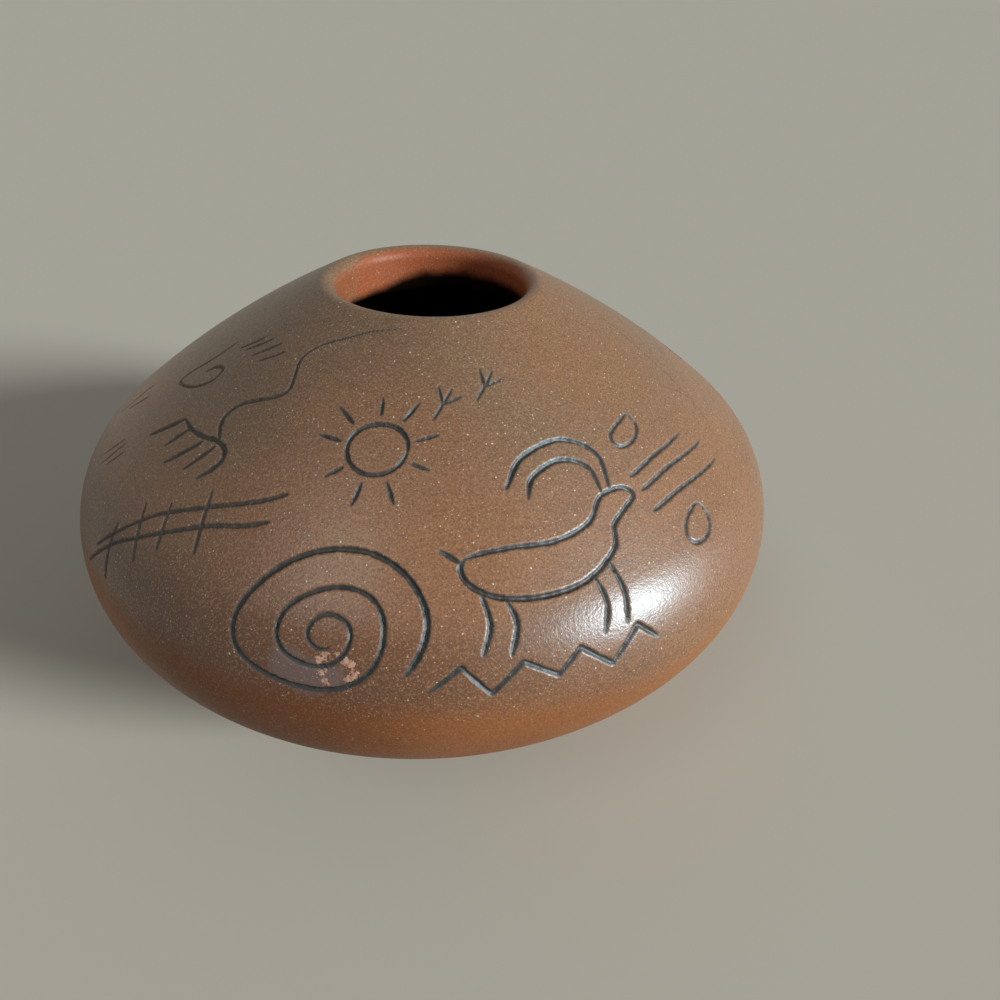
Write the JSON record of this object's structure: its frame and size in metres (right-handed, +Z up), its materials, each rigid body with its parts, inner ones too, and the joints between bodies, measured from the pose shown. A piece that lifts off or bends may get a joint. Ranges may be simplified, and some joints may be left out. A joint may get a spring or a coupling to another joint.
{
  "type": "seed pot",
  "caption": "Squat hand-built seed pot of fired clay with a sharp belly, a long low shoulder, a small round mouth and a thin coat of slip.",
  "frame": {"origin": "centre of the flat foot, on the surface that the pot rests on", "axes": "+Z up through the middle of the mouth; -Y is the side that the picture shows"},
  "size_m": [0.127, 0.127, 0.0734],
  "materials": {
    "bare_clay": "matte orange-brown fired clay, rubbed smooth",
    "brown_slip": "satin brown slip with fine pale mica specks"
  },
  "bodies": {
    "root": {"base_pat": "bare_clay", "lower_coil_1": "bare_clay", "lower_coil_2": "bare_clay", "belly_coil": "bare_clay", "shoulder_coil_1": "bare_clay", "shoulder_coil_2": "bare_clay", "shoulder_coil_3": "bare_clay", "lip_coil": "bare_clay", "slip_coat": "brown_slip"}
  },
  "joints": []
}
